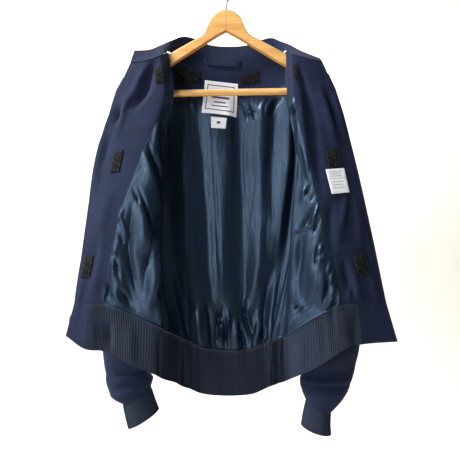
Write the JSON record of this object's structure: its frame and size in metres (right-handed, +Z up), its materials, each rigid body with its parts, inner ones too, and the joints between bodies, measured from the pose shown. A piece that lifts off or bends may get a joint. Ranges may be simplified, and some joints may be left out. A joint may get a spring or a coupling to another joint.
{
  "type": "lightweight jacket on a wooden hanger",
  "caption": "Lightweight blouson jacket with rib hem and cuffs, lined, hanging wide open on a wooden hanger with a wire hook.",
  "frame": {"origin": "inner top of the hanger's hook, where it hangs on a rail or wall hook", "axes": "+Z up, +X across the hanger to the right as seen from the open front, +Y back towards the wall"},
  "size_m": [0.5782, 0.112, 0.856],
  "materials": {
    "navy_twill": "navy cotton twill, soft and matt, lightly faded along its edges",
    "slate_taffeta": "slate blue taffeta lining with a bright sheen along its folds",
    "navy_rib": "fine ribbed knit, matt, dark slate navy",
    "hook_and_loop": "black hook-and-loop tape, matt and bristly",
    "label_white": "white woven label with a plain border and no lettering",
    "zip_tape": "navy woven zip tape",
    "pale_wood": "golden clear-lacquered wood",
    "wire_steel": "bright steel wire",
    "zip_metal": "grey nickel-plated zinc"
  },
  "bodies": {
    "jacket": {"back": "navy_twill", "back_lining": "slate_taffeta", "back_neck_facing": "navy_twill", "care_label": "label_white", "collar": "navy_twill", "cuff_left": "navy_rib", "cuff_right": "navy_rib", "front_facing_left": "navy_twill", "front_facing_right": "navy_twill", "front_left": "navy_twill", "front_lining_left": "slate_taffeta", "front_lining_right": "slate_taffeta", "front_right": "navy_twill", "hanger_bar": "pale_wood", "hanger_hook": "wire_steel", "hanger_wood": "pale_wood", "hanging_loop": "navy_twill", "hem_rib": "navy_rib", "hem_tab_left": "navy_twill", "hem_tab_right": "navy_twill", "main_label": "label_white", "patch_front_left_lower": "hook_and_loop", "patch_front_left_upper": "hook_and_loop", "patch_front_right_lower": "hook_and_loop", "patch_front_right_upper": "hook_and_loop", "patch_neck_back_left": "hook_and_loop", "patch_neck_back_right": "hook_and_loop", "patch_neck_left": "hook_and_loop", "patch_neck_right": "hook_and_loop", "pocket_welt": "navy_twill", "size_label": "label_white", "sleeve_left": "navy_twill", "sleeve_right": "navy_twill", "zip_slider": "zip_metal", "zip_tape_left": "zip_tape", "zip_tape_right": "zip_tape"},
    "zip_pull": {"zip_pull": "zip_metal"}
  },
  "joints": [
    {"name": "zip_pull_hinge", "type": "hinge", "parent": "jacket", "child": "zip_pull", "pos_m": [-0.26522, -0.04213, -0.62689], "axis": [0.9324, -0.27, -0.2401], "range_deg": [0, 170]}
  ]
}
